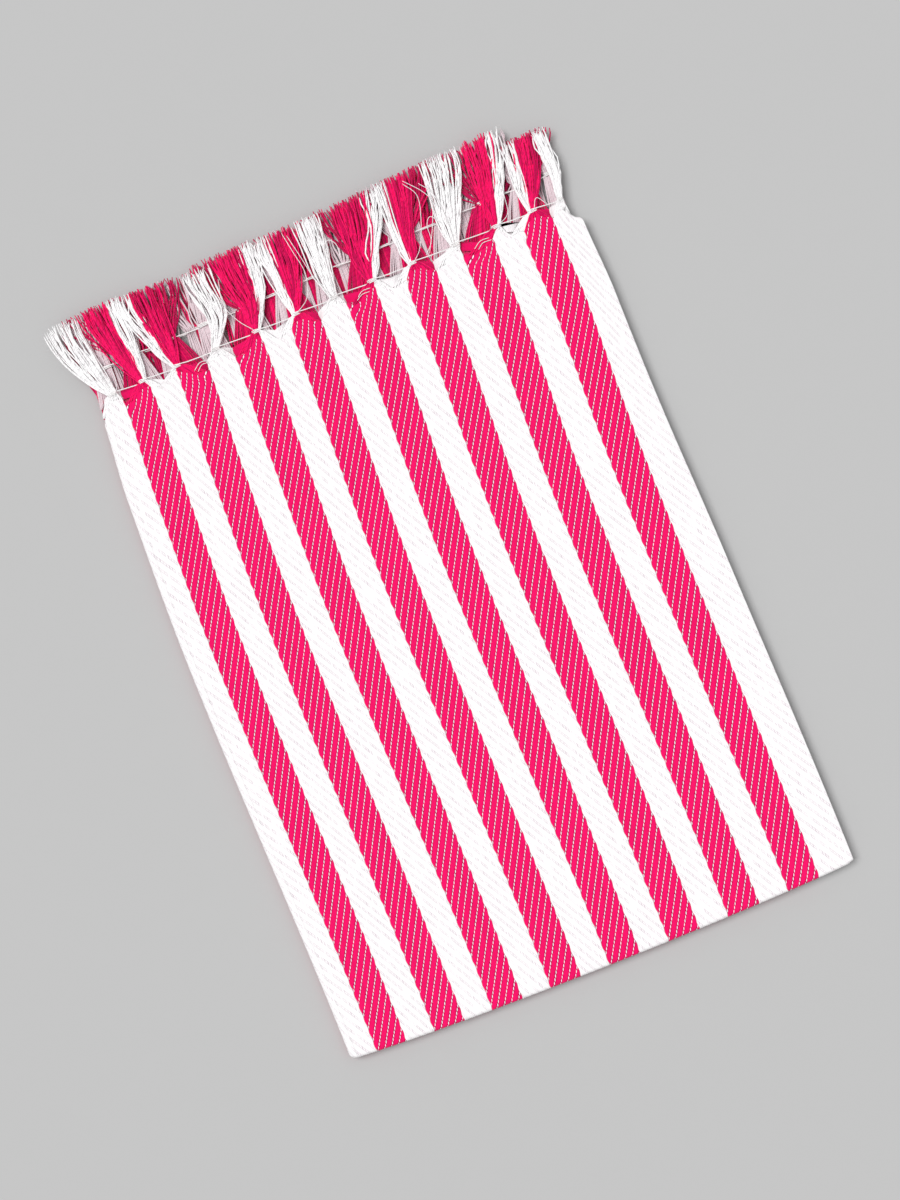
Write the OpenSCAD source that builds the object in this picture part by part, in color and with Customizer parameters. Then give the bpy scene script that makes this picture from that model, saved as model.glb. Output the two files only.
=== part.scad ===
// Cotton bath mat with lengthwise stripes and knotted fringes, lying folded in
// four: first crosswise, ends together, then lengthwise over a soft left edge.
// X runs across the stripes, Y towards the fringe, Z up. The origin is the
// bottom centre of the folded mat. Every stripe is one band of warp that runs
// round the crosswise fold, so each band has two layers.

/* [Stripes] */
// Width of one pink stripe
pink_w = 18.6; // [12:0.1:26]
// Width of one white stripe between two pink ones
white_w = 17.5; // [12:0.1:26]
// Width of the white border at each long edge of the mat
selvedge_w = 21; // [12:0.5:40]

/* [Cloth] */
// Length of the folded cloth, from the crosswise fold to the edge of end A
folded_length = 404; // [300:1:500]
// How far the edge of end B lies beyond the edge of end A
end_b_extra = 16; // [0:1:30]
// Thickness of one layer of the woven cloth
cloth_t = 2.05; // [1.2:0.05:3]
// Air between the two layers of one half
layer_gap = 0.2; // [0.1:0.05:0.5]
// Air between the upper and the lower half
half_gap = 0.4; // [0.3:0.05:1]

/* [Fringe] */
// Distance from the cloth edge to the line of knots
knot_setback = 3; // [2:0.5:6]
// Length of a tassel at end A, from its knot to its tip
fringe_a = 50; // [25:0.5:80]
// Length of a tassel at end B, from its knot to its tip
fringe_b = 33.5; // [18:0.5:60]
// Width of a tassel where the tie thread grips it
waist_w = 3; // [2:0.5:5]
// Length of the straight waist under the tie thread
waist_l = 1.6; // [1.4:0.2:3]
// Gap between the tips of two neighbouring tassels
tip_gap = 4; // [2:0.5:8]
// Gap between the roots of two neighbouring tassels
root_gap = 3; // [1:0.5:6]
// How far the outermost tassels lean outwards over their length
lean = 7; // [0:0.5:10]
// Distance from the mat's edge to the first and to the last knot
edge_knot = 10.5; // [8:0.5:16]

/* [Tie thread] */
// Diameter of the thread that runs from knot to knot
thread_d = 0.8; // [0.5:0.1:1.2]
// Wall of the thread's wrap round each tassel
wrap_wall = 0.4; // [0.3:0.05:0.6]
// Width of the wrap along the tassel
wrap_w = 1.2; // [0.8:0.1:1.4]

/* [Hidden] */
$fn = 48;
STRIPES = 8;                       // pink stripes in each half of the mat
TASSELS = 13;                      // tassels across the upper half
pink = [0.95, 0.05, 0.36];
white = [0.97, 0.97, 0.97];
cream = [0.93, 0.92, 0.90];
quarter_arc = PI / 2;

// Heights: layers from the bottom are lower A, lower B, upper B, upper A.
half_h = 2 * cloth_t + layer_gap;               // one half of the folded mat
stack_h = 2 * half_h + half_gap;                // the whole folded mat
mid_z = stack_h / 2;                            // level of the lengthwise fold
lower_a = 0;
lower_b = cloth_t + layer_gap;
upper_b = half_h + half_gap;
upper_a = upper_b + cloth_t + layer_gap;

// The lengthwise fold is a half round: each half owns a quarter of it.
fold_r = stack_h / 2;
fold_arc = quarter_arc * fold_r;                // cloth taken up by a quarter
fold_inner_r = fold_r - cloth_t - layer_gap;    // outside of the inner layer

// Across the mat, from the outside of the lengthwise fold.
period = pink_w + white_w;
upper_first = fold_r + white_w - fold_arc;      // where the first pink begins
lower_first = fold_r + pink_w - fold_arc;       // where the first white begins
upper_w = upper_first + STRIPES * pink_w + (STRIPES - 1) * white_w + selvedge_w;
lower_w = lower_first + (STRIPES - 1) * period + selvedge_w;

// Along the mat, from the outside of the crosswise fold.
edge_a = folded_length;
edge_b = edge_a + end_b_extra;
knots_a = edge_a + knot_setback;
knots_b = edge_b + knot_setback;
tips_a = knots_a + fringe_a;
tips_b = knots_b + fringe_b;
total_l = max(tips_a, tips_b);

// The waist leaves room for the wrap inside the layer's own height.
wrap_play = 0.05;
waist_t = cloth_t - 2 * wrap_wall - wrap_play;
strip_l = 1;                                    // root strip of a grouped fringe

// Knots: evenly spaced, drawn a little towards both edges as hand-tied.
function knot_x(i, w) =
    let (n = TASSELS - 1, a = 360 * i / n, pitch = (w - 2 * edge_knot) / n)
    edge_knot + i * pitch - 0.19 * pitch * sin(a) - 0.1 * pitch * sin(2 * a);
function tip_x(i, w) = knot_x(i, w) + lean * (2 * i / (TASSELS - 1) - 1);
// Borders between tassel i - 1 and tassel i, at the root and at the tip.
function root_border(i, w) =
    i == 0 ? 0 : i == TASSELS ? w : (knot_x(i - 1, w) + knot_x(i, w)) / 2;
function tip_border(i, w) =
    i == 0 ? 0 : i == TASSELS ? w : (tip_x(i - 1, w) + tip_x(i, w)) / 2;

// From fold coordinates to the frame of the whole mat.
module placed() { translate([-upper_w / 2, -total_l / 2, 0]) children(); }

// Long section of a half: two layers joined by the crosswise fold. The first
// 2D axis is Y and the second is Z. len_low and len_high end the two layers.
module half_section(len_low, len_high) {
    bend = half_h / 2;
    difference() {
        union() {
            translate([bend, 0]) square([len_low - bend, cloth_t]);
            translate([bend, cloth_t + layer_gap]) square([len_high - bend, cloth_t]);
            difference() {
                translate([bend, bend]) circle(bend);
                translate([bend, -1]) square([half_h, half_h + 2]);
            }
        }
        translate([bend, bend]) circle(layer_gap / 2);
    }
}

// One warp band of a half, from x to x + w. The upper half has end A on top.
module band(x, w, upper) {
    low = upper ? edge_b : edge_a;
    high = upper ? edge_a : edge_b;
    placed() translate([x, 0, upper ? upper_b : lower_a])
        rotate([90, 0, 90]) linear_extrude(w) half_section(low, high);
}

// A quarter of a round in the XZ plane, above the fold's level.
module quarter(r_out, r_in) {
    intersection() {
        difference() { circle(r_out); circle(r_in); }
        translate([-r_out, half_gap / 2]) square([r_out, r_out]);
    }
}

// The quarter of the lengthwise fold that one half owns: the outer layer, the
// inner layer inside it and the closed corner at the crosswise fold.
module fold_quarter(upper) {
    bend = half_h / 2;
    placed() translate([fold_r, 0, mid_z]) mirror([0, 0, upper ? 0 : 1])
        rotate([90, 0, 0]) {
            translate([0, 0, -edge_a]) linear_extrude(edge_a - bend)
                quarter(fold_r, fold_r - cloth_t);
            translate([0, 0, -edge_b]) linear_extrude(edge_b - bend)
                quarter(fold_inner_r, half_gap / 2);
            translate([0, 0, -bend]) linear_extrude(bend)
                intersection() {
                    circle(fold_r);
                    translate([-fold_r, half_gap / 2]) square([fold_r, fold_r]);
                }
        }
}

module white_r0() {
    color(white) union() {
        fold_quarter(true);
        band(fold_r, upper_first - fold_r, true);
    }
}

module pink_l1() {
    color(pink) union() {
        fold_quarter(false);
        band(fold_r, lower_first - fold_r, false);
    }
}

module pink_r(k) {
    color(pink) band(upper_first + (k - 1) * period, pink_w, true);
}

module white_r(k) {
    color(white) band(upper_first + (k - 1) * period + pink_w, white_w, true);
}

module selvedge_r() {
    color(white) band(upper_w - selvedge_w, selvedge_w, true);
}

module pink_l(k) {
    color(pink) band(lower_first + (k - 2) * period + white_w, pink_w, false);
}

module white_l(k) {
    color(white) band(lower_first + (k - 1) * period, white_w, false);
}

module selvedge_l() {
    color(white) band(lower_w - selvedge_w, selvedge_w, false);
}

// Plan of tassel i: root at the cloth edge, straight waist, fanned-out tip.
module tassel_plan(i, w, edge, tip) {
    k = knot_x(i, w);
    y = edge + knot_setback;
    polygon([
        [root_border(i, w) + root_gap / 2, edge],
        [root_border(i + 1, w) - root_gap / 2, edge],
        [k + waist_w / 2, y - waist_l / 2], [k + waist_w / 2, y + waist_l / 2],
        [tip_border(i + 1, w) - tip_gap / 2, tip - 2],
        [tip_border(i + 1, w) - tip_gap, tip],
        [tip_border(i, w) + tip_gap, tip],
        [tip_border(i, w) + tip_gap / 2, tip - 2],
        [k - waist_w / 2, y + waist_l / 2], [k - waist_w / 2, y - waist_l / 2]
    ]);
}

// Height of the underside of a tassel in the layer that starts at z.
function tassel_z(z) = z + (cloth_t - waist_t) / 2;

module tassel_ra(i) {
    color(i % 3 == 0 ? white : pink)
        placed() translate([0, 0, tassel_z(upper_a)])
            linear_extrude(waist_t) tassel_plan(i, upper_w, edge_a, tips_a);
}

// All the tassels of one hidden edge, held by a narrow strip at their roots.
module tassel_row(w, edge, tip, z) {
    placed() translate([0, 0, tassel_z(z)]) linear_extrude(waist_t) union() {
        for (i = [0 : TASSELS - 1]) tassel_plan(i, w, edge, tip);
        translate([root_gap / 2, edge]) square([w - root_gap, strip_l]);
    }
}

// Wraps round every waist, and the thread that runs from wrap to wrap.
module tie_thread(w, y, z) {
    out_w = waist_w + 2 * wrap_wall;
    out_t = waist_t + 2 * wrap_wall;
    color(cream) placed() translate([0, y, z + cloth_t / 2]) {
        for (i = [0 : TASSELS - 1]) translate([knot_x(i, w), 0, 0]) difference() {
            cube([out_w, wrap_w, out_t], center = true);
            cube([waist_w, waist_l, waist_t], center = true);
        }
        for (i = [1 : TASSELS - 1])
            let (a = knot_x(i - 1, w) + (waist_w + wrap_wall) / 2,
                 b = knot_x(i, w) - (waist_w + wrap_wall) / 2)
            translate([a, 0, 0]) rotate([0, 90, 0])
                cylinder(h = b - a, d = thread_d);
    }
}

module tie_thread_ra() { tie_thread(upper_w, knots_a, upper_a); }
module tie_thread_rb() { tie_thread(upper_w, knots_b, upper_b); }
module tie_thread_la() { tie_thread(lower_w, knots_a, lower_a); }
module tie_thread_lb() { tie_thread(lower_w, knots_b, lower_b); }
module tassels_rb() { color(pink) tassel_row(upper_w, edge_b, tips_b, upper_b); }
module tassels_la() { color(pink) tassel_row(lower_w, edge_a, tips_a, lower_a); }
module tassels_lb() { color(white) tassel_row(lower_w, edge_b, tips_b, lower_b); }

white_r0();
pink_r(1);  // pink_r1
white_r(1);  // white_r1
pink_r(2);  // pink_r2
white_r(2);  // white_r2
pink_r(3);  // pink_r3
white_r(3);  // white_r3
pink_r(4);  // pink_r4
white_r(4);  // white_r4
pink_r(5);  // pink_r5
white_r(5);  // white_r5
pink_r(6);  // pink_r6
white_r(6);  // white_r6
pink_r(7);  // pink_r7
white_r(7);  // white_r7
pink_r(8);  // pink_r8
selvedge_r();
pink_l1();
white_l(1);  // white_l1
pink_l(2);  // pink_l2
white_l(2);  // white_l2
pink_l(3);  // pink_l3
white_l(3);  // white_l3
pink_l(4);  // pink_l4
white_l(4);  // white_l4
pink_l(5);  // pink_l5
white_l(5);  // white_l5
pink_l(6);  // pink_l6
white_l(6);  // white_l6
pink_l(7);  // pink_l7
white_l(7);  // white_l7
pink_l(8);  // pink_l8
selvedge_l();
tie_thread_ra();
tie_thread_rb();
tie_thread_la();
tie_thread_lb();
tassel_ra(0);  // tassel_ra_01
tassel_ra(1);  // tassel_ra_02
tassel_ra(2);  // tassel_ra_03
tassel_ra(3);  // tassel_ra_04
tassel_ra(4);  // tassel_ra_05
tassel_ra(5);  // tassel_ra_06
tassel_ra(6);  // tassel_ra_07
tassel_ra(7);  // tassel_ra_08
tassel_ra(8);  // tassel_ra_09
tassel_ra(9);  // tassel_ra_10
tassel_ra(10);  // tassel_ra_11
tassel_ra(11);  // tassel_ra_12
tassel_ra(12);  // tassel_ra_13
tassels_rb();
tassels_la();
tassels_lb();
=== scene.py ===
import math
import random

import bmesh
import bpy
import numpy as np
from bpy.props import (
    FloatProperty,
    FloatVectorProperty,
    IntProperty,
    PointerProperty,
)
from bpy.types import Operator, Panel, PropertyGroup
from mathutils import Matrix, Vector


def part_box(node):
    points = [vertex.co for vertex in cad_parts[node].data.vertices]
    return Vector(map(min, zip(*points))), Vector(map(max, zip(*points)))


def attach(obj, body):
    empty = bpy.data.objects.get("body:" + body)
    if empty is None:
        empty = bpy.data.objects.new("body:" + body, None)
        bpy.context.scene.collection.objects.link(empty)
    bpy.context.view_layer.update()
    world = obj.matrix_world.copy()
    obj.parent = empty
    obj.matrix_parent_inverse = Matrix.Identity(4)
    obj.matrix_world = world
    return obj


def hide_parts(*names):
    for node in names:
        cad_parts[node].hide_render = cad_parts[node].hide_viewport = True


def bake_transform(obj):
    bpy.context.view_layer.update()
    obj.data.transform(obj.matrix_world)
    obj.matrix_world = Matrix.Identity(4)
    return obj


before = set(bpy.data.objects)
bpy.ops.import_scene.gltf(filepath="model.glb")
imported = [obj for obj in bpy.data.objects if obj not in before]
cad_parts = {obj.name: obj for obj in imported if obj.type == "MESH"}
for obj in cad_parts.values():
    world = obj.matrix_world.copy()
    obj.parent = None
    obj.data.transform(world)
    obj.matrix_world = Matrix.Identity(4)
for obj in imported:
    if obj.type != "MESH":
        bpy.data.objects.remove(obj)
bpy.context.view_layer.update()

bl_info = {
    "name": "Folded striped bath mat",
    "version": (1, 0, 0),
    "blender": (4, 5, 0),
    "location": "3D View > Sidebar > Bath Mat",
    "description": "Twill stripes, fold wraps, tassels and tie threads of a folded bath mat",
    "category": "Object",
}

MM = 0.001

# ---------------------------------------------------------------- the frame
UPPER_LOW, UPPER_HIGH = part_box("white_r0")
LOWER_LOW, LOWER_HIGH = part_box("pink_l1")
X_FOLD = UPPER_LOW.x  # outside of the lengthwise fold
Y_FOLD = UPPER_LOW.y  # outside of the crosswise fold
STACK = UPPER_HIGH.z
MID_Z = (UPPER_LOW.z + LOWER_HIGH.z) / 2
HALF_H = LOWER_HIGH.z - LOWER_LOW.z
INNER_H = UPPER_LOW.z - MID_Z  # innermost skin's height from the middle level
FOLD_R = STACK - MID_Z
FOLD_ARC = FOLD_R * math.pi / 2
BEND_R = HALF_H / 2
UPPER_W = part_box("selvedge_r")[1].x - X_FOLD
LOWER_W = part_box("selvedge_l")[1].x - X_FOLD
EDGE_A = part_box("tassel_ra_01")[0].y
EDGE_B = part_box("tassels_rb")[0].y
TIPS_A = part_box("tassel_ra_01")[1].y
TIPS_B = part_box("tassels_rb")[1].y
KNOTS_A = sum(c.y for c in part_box("tie_thread_ra")) / 2
KNOTS_B = sum(c.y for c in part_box("tie_thread_rb")) / 2
END_A, END_B = (EDGE_A, KNOTS_A, TIPS_A), (EDGE_B, KNOTS_B, TIPS_B)
LENGTH = KNOTS_A - Y_FOLD

STRIPES_UPPER = ["white_r0"]
for number in range(1, 9):
    STRIPES_UPPER += [f"pink_r{number}", f"white_r{number}"]
STRIPES_UPPER[-1] = "selvedge_r"
STRIPES_LOWER = []
for number in range(1, 9):
    STRIPES_LOWER += [f"pink_l{number}", f"white_l{number}"]
STRIPES_LOWER[-1] = "selvedge_l"
TASSELS = 13
EDGE_B_BACK = 10.5 * MM  # the second layer is woven less far than the first
GATHER_A, GATHER_B = 15 * MM, 45 * MM  # how far the knots draw the cloth of each end
DRAWN_LEAST, DRAWN_MORE = 1.0 * MM, 5.6 * MM  # how far they draw its edge back
DRAWN_REACH = 13 * MM  # distance from a knot where the edge is drawn back most
TOOTH = 0.27 * MM  # how far a pink float reaches over its stripe's border
TINY = 1e-6
# Waist of each row of tassels, in waists of the front row.
WAISTS = {"ra": 1.0, "rb": 2.0, "la": 3.4, "lb": 3.4}
YARN_SIZES = (0.85, 1.12)  # range of the yarns' thickness
STRAY_SIZE = 0.45  # thickness of a loose end, in yarns
# In the front row this share of pink yarns takes the darker inner pink, painted shade; in
# the inner rows it takes the bright pink
DEEP_SHARE = 0.3  # share of the pink yarns that are deeper or brighter
WAVE = 0.5 * MM  # spread of the height of the yarns' fine waves
WAVES = 3.2  # fine waves along one yarn
VIEW_CENTRE = (148.0 * MM, 221.7 * MM)  # from the corner of the two folds
SENSOR = 36  # width of the camera's sensor, in millimetres


# --------------------------------------------------------------- properties
class MatWeave(PropertyGroup):
    end_pitch: FloatProperty(
        name="End pitch", description="Distance between two warp ends",
        default=1.094 * MM, min=0.5 * MM, max=3 * MM, unit="LENGTH")
    pick_pitch: FloatProperty(
        name="Pick pitch", description="Distance between two weft picks",
        default=1.87 * MM, min=0.8 * MM, max=5 * MM, unit="LENGTH")
    thickness: FloatProperty(
        name="Cloth thickness", description="Thickness of one layer of the cloth",
        default=2.05 * MM, min=1 * MM, max=4 * MM, unit="LENGTH")
    groove_depth: FloatProperty(
        name="Groove depth", description="Depth of the groove between two warp ends",
        default=0.26 * MM, min=0, max=1 * MM, unit="LENGTH")
    dip_depth: FloatProperty(
        name="Dip depth", description="How far a warp end dives under its pick",
        default=0.14 * MM, min=0, max=1 * MM, unit="LENGTH")


class MatFringe(PropertyGroup):
    yarn: FloatProperty(
        name="Yarn diameter", description="Diameter of one yarn of a tassel",
        default=0.92 * MM, min=0.4 * MM, max=2 * MM, unit="LENGTH")
    thread: FloatProperty(
        name="Tie thread diameter", description="Diameter of the thread between the knots",
        default=0.66 * MM, min=0.3 * MM, max=2 * MM, unit="LENGTH")
    waist: FloatProperty(
        name="Waist width", description="Width of a tassel under its tie thread",
        default=4.6 * MM, min=1 * MM, max=10 * MM, unit="LENGTH")
    seed: IntProperty(
        name="Seed", description="Start of the random draws for the loose yarns",
        default=7, min=0)


class MatColours(PropertyGroup):
    pink: FloatVectorProperty(
        name="Pink yarn", description="Colour of the pink warp",
        default=(0.97, 0.003, 0.142), size=3, min=0, max=1, subtype="COLOR")
    # Pink shade and tone: painted shade in the twill's grooves, between the plies and on the
    # cloth's back face, and random darker tone
    pink_shade_and_tone: FloatVectorProperty(
        name="Deep pink", description="Colour of the pink warp in its grooves",
        default=(0.42, 0.0, 0.062), size=3, min=0, max=1, subtype="COLOR")
    white: FloatVectorProperty(
        name="White yarn", description="Colour of the white warp and of the weft",
        default=(0.97, 0.965, 0.967), size=3, min=0, max=1, subtype="COLOR")
    # The weft in the pink is the same white yarn, painted brighter than the white and tinted
    # pink: painted light against the shade of its dips
    weft: FloatVectorProperty(
        name="Weft in the pink", description="Colour of the weft between pink warp ends",
        default=(1.0, 0.94, 1.0), size=3, min=0, max=1, subtype="COLOR")
    # White shade and tone: painted shade in grooves and between plies, tinted pink as a
    # painted reflection from the pink warp, and random darker tone
    white_shade_and_tone: FloatVectorProperty(
        name="White shade and tone", description="Colour of the white warp in its grooves",
        default=(0.80, 0.72, 0.76), size=3, min=0, max=1, subtype="COLOR")
    # The pit colours are painted shade in the small openings beside the weft
    pink_pit_shade: FloatVectorProperty(
        name="Pink pit shade", description="Colour of the small pits of the pink twill",
        default=(0.24, 0.0, 0.055), size=3, min=0, max=1, subtype="COLOR")
    white_pit_shade: FloatVectorProperty(
        name="White pit shade", description="Colour of the small pits of the white twill",
        default=(0.55, 0.42, 0.50), size=3, min=0, max=1, subtype="COLOR")
    # The inner fringe colours are painted shade: darker copies of the fringe yarns for the
    # rows under the front row; the white one also carries a painted pink reflection
    pink_inner_shade: FloatVectorProperty(
        name="Inner pink yarn in painted shade", description="Colour of the pink fringe of the inner layers",
        default=(0.62, 0.0, 0.095), size=3, min=0, max=1, subtype="COLOR")
    white_inner_shade: FloatVectorProperty(
        name="Inner white yarn in painted shade",
        description="Colour of the white fringe of the inner layers",
        default=(0.76, 0.62, 0.66), size=3, min=0, max=1, subtype="COLOR")
    thread: FloatVectorProperty(
        name="Tie thread", description="Colour of the tie thread",
        default=(0.95, 0.94, 0.93), size=3, min=0, max=1, subtype="COLOR")
    floor: FloatVectorProperty(
        name="Floor", description="Colour of the floor",
        default=(0.4985, 0.4985, 0.4985), size=3, min=0, max=1, subtype="COLOR")


class MatStage(PropertyGroup):
    camera_turn: FloatProperty(
        name="Camera turn", description="Turn of the camera about the upright",
        default=math.radians(-21.5), unit="ROTATION")
    camera_height: FloatProperty(
        name="Camera height", description="Height of the camera above the mat",
        default=1.5, min=0.3, max=6, unit="LENGTH")
    view_width: FloatProperty(
        name="View width", description="Width of what the camera sees at the mat",
        default=0.513, min=0.1, max=3, unit="LENGTH")


# ------------------------------------------------------------------- shapes
def smooth(t):
    t = np.clip(t, 0, 1)
    return t * t * (3 - 2 * t)


def settle(x, y, z):
    """The soft cloth's own drift from its nominal lines, as it lies."""
    u = (x - X_FOLD) / UPPER_W
    v = (y - Y_FOLD) / LENGTH
    side = np.clip(u, -0.1, 1.05)
    run = np.clip(v, 0, 1.12)
    across = 4 * side * (1 - side)
    # the stripes bow to the left on their way to the fringe, and back again
    dx = 0.7 - 3.5 * across - 4.4 * smooth(run / 0.62) + 3.2 * smooth((run - 0.62) / 0.36)
    # the knots draw both corners in
    dx -= (side - 0.5) * (1.6 * run + 4.5 * smooth((run - 0.85) / 0.12))
    # the two outermost strips: the fold swells a little, the border pulls in
    along_fold = np.clip(run, 0, 1) * (1 - smooth((run - 0.9) / 0.1))
    dx -= smooth(1 - side / 0.05) * (1.5 + 0.6 * along_fold)
    dx -= 5.5 * smooth((side - 0.93) / 0.07) * smooth((run - 0.45) / 0.5)
    # the border's side is a little longer, and the crosswise fold swells
    dy = (11.0 * side - 6.0) * run
    dy -= (4.2 * np.clip(across, 0, 1) ** 0.7 + 1.5) * (1 - np.clip(run, 0, 1)) ** 2
    corner = smooth((0.012 - v) / 0.012) * (
        smooth((0.012 - u) / 0.012) + smooth((u - 0.988) / 0.012))
    return x + dx * MM, y + (dy + 0.8 * corner) * MM, z


def fold_point(s, y, h):
    """Where cloth at signed distance s from the fold line, at height h from the
    middle level, lies: above that level for a positive s, below it otherwise."""
    away = np.abs(s)
    turn = np.clip(away / FOLD_ARC, 0, 1) * (math.pi / 2)
    on_arc = away < FOLD_ARC
    x = np.where(on_arc, X_FOLD + FOLD_R - h * np.cos(turn),
                 X_FOLD + FOLD_R + away - FOLD_ARC)
    z = np.where(on_arc, h * np.sin(turn), h)
    return settle(x, y, MID_Z + np.sign(s) * z)


def path_point(v, n):
    """(y, height) of the cloth at distance v from end A; n is inward."""
    run = EDGE_A - Y_FOLD - BEND_R
    arc = math.pi * BEND_R
    turn = np.clip((v - run) / BEND_R, 0, math.pi)
    before, after = v < run, v > run + arc
    radius = BEND_R - n
    y = Y_FOLD + BEND_R - radius * np.sin(turn)
    h = INNER_H + BEND_R + radius * np.cos(turn)
    y = np.where(before, EDGE_A - v, np.where(after, Y_FOLD + BEND_R + v - run - arc, y))
    h = np.where(before, FOLD_R - n, np.where(after, INNER_H + n, h))
    return y, h


OUTER_BORDERS = (FOLD_ARC - FOLD_R + UPPER_W, FOLD_R - FOLD_ARC - LOWER_W)
CLOTH_V = (EDGE_A - Y_FOLD - BEND_R) + math.pi * BEND_R + (EDGE_B - Y_FOLD - BEND_R)


def knot_x(i, width):
    """Place of knot i, from the fold; the knots draw towards both edges."""
    edge, turn = 10.5 * MM, 2 * math.pi * i / (TASSELS - 1)
    pitch = (width - 2 * edge) / (TASSELS - 1)
    return edge + pitch * (i - 0.19 * math.sin(turn) - 0.1 * math.sin(2 * turn))


KNOTS_UPPER = np.array([knot_x(i, UPPER_W) for i in range(TASSELS)])
KNOTS_LOWER = np.array([knot_x(i, LOWER_W) for i in range(TASSELS)])


def group_borders(width):
    """Where, from the fold, the ends of one tassel stop and the next one's start."""
    if width != UPPER_W:
        return (KNOTS_LOWER[1:] + KNOTS_LOWER[:-1]) / 2
    borders = []
    for k, name in enumerate(STRIPES_UPPER[:-1]):
        low, high = (corner.x - X_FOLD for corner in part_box(name))
        if k % 4 == 2:
            borders.append((low + high) / 2)
        else:
            borders.append(high)
    return np.array([b for k, b in enumerate(borders) if k % 4 != 1])


BORDERS = {UPPER_W: group_borders(UPPER_W), LOWER_W: group_borders(LOWER_W)}


def woven_edge(local, width):
    """How far the woven edge is drawn back at a distance from the fold, and how
    far the cloth there is drawn sideways, towards its tassel's knot."""
    knots = KNOTS_UPPER if width == UPPER_W else KNOTS_LOWER
    borders = BORDERS[width]
    own = knots[np.clip(np.searchsorted(borders, local), 0, TASSELS - 1)]
    back = DRAWN_LEAST + DRAWN_MORE * smooth(np.abs(own - local) / DRAWN_REACH) ** 1.2
    free = smooth(np.min(np.abs(local[..., None] - borders), axis=-1) / (4 * MM))
    outer = smooth((local / width - 0.965) / 0.035)
    return back, (own - local) * (0.15 + 0.6 * outer) * free


def twill(ends, picks, slant, weave):
    """Depth of the cloth's face under its crowns, at fractional end and pick."""
    end = np.floor(ends)
    across = ends - end - 0.5
    phase = (picks + slant * end) / 4
    along = 4 * (phase - np.round(phase)) + slant * across
    dip = np.exp(-(along / 0.55) ** 2)
    crown = weave.groove_depth * (2 * np.abs(across)) ** 2.2
    warp = crown + weave.dip_depth * dip
    weft = 0.12 * MM + 0.9 * MM * along ** 2 + 0.5 * crown
    return np.minimum(warp, weft)


def cloth_layout():
    """Borders of all stripes from the lower selvedge to the upper one: signed
    distances from the fold line, below it negative, and warp end numbers."""
    pitch = bpy.context.scene.mat_weave.end_pitch
    stripes = {}
    for names, side in ((STRIPES_UPPER, 1), (STRIPES_LOWER, -1)):
        end = 0
        for k, name in enumerate(names):
            low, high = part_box(name)
            near = 0.0 if k == 0 else low.x - X_FOLD - FOLD_R + FOLD_ARC
            far = high.x - X_FOLD - FOLD_R + FOLD_ARC
            count = round((far - near) / pitch)
            span = sorted(((side * near, side * end), (side * far, side * (end + count))))
            stripes[name] = (span[0][0], span[1][0], span[0][1], span[1][1])
            end += count
    return stripes


def ends_at(s):
    """Warp end number at signed distance s from the fold line."""
    stripes = sorted(cloth_layout().values())
    places = [stripe[0] for stripe in stripes] + [stripes[-1][1]]
    numbers = [stripe[2] for stripe in stripes] + [stripes[-1][3]]
    return np.interp(s, places, numbers)


def toothed(S, P, s_from, s_to, is_pink, weave):
    """S with the toothed border of a stripe, where pink floats reach over it."""
    moved = S
    for border, sign in ((s_from, 1 if is_pink else -1), (s_to, -1 if is_pink else 1)):
        inner = min(abs(border - outer) for outer in OUTER_BORDERS) > TINY
        if inner and abs(abs(border) - FOLD_ARC) > TINY:
            near = np.clip(1 - np.abs(S - border) / (1.2 * weave.end_pitch), 0, 1)
            phase = (P + ends_at(border)) / 4
            moved = moved + sign * near * TOOTH * np.cos(2 * math.pi * phase)
    return moved


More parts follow.
